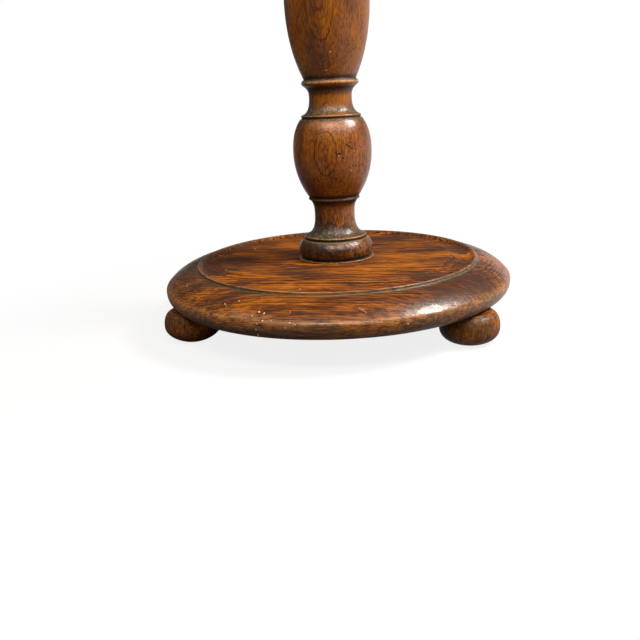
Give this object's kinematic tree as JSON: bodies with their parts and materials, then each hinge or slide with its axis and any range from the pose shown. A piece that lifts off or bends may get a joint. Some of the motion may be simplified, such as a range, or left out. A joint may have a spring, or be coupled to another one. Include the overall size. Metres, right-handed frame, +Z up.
{
  "type": "turned wooden pedestal stand",
  "caption": "Tall turned oak stand: a round moulded base on bun feet carries one baluster column and a round top for a plant, lamp or bust.",
  "frame": {"origin": "on the floor, on the axis of the column", "axes": "+Z up the column; +Y towards the foot at the back; +X to the right, along the grain of the base"},
  "size_m": [0.3, 0.306, 0.915],
  "materials": {
    "oak_base": "stained and polished oak, waxed, with dark open grain and worn edges",
    "oak_column": "stained and polished oak, turned, worn paler on the mouldings",
    "oak_top": "stained and polished oak, waxed",
    "oak_feet": "dark stained oak, dull and rubbed",
    "raw_oak": "bare cut oak, darkened by age",
    "screw_steel": "old dull steel"
  },
  "bodies": {
    "root": {"base_disc": "oak_base", "foot_back": "oak_feet", "foot_left": "oak_feet", "foot_right": "oak_feet", "column": "oak_column", "base_wedge": "raw_oak", "top_wedge": "raw_oak", "top_block": "oak_top", "top_disc": "oak_top", "block_screw_1": "screw_steel", "block_screw_2": "screw_steel", "block_screw_3": "screw_steel", "block_screw_4": "screw_steel"}
  },
  "joints": []
}
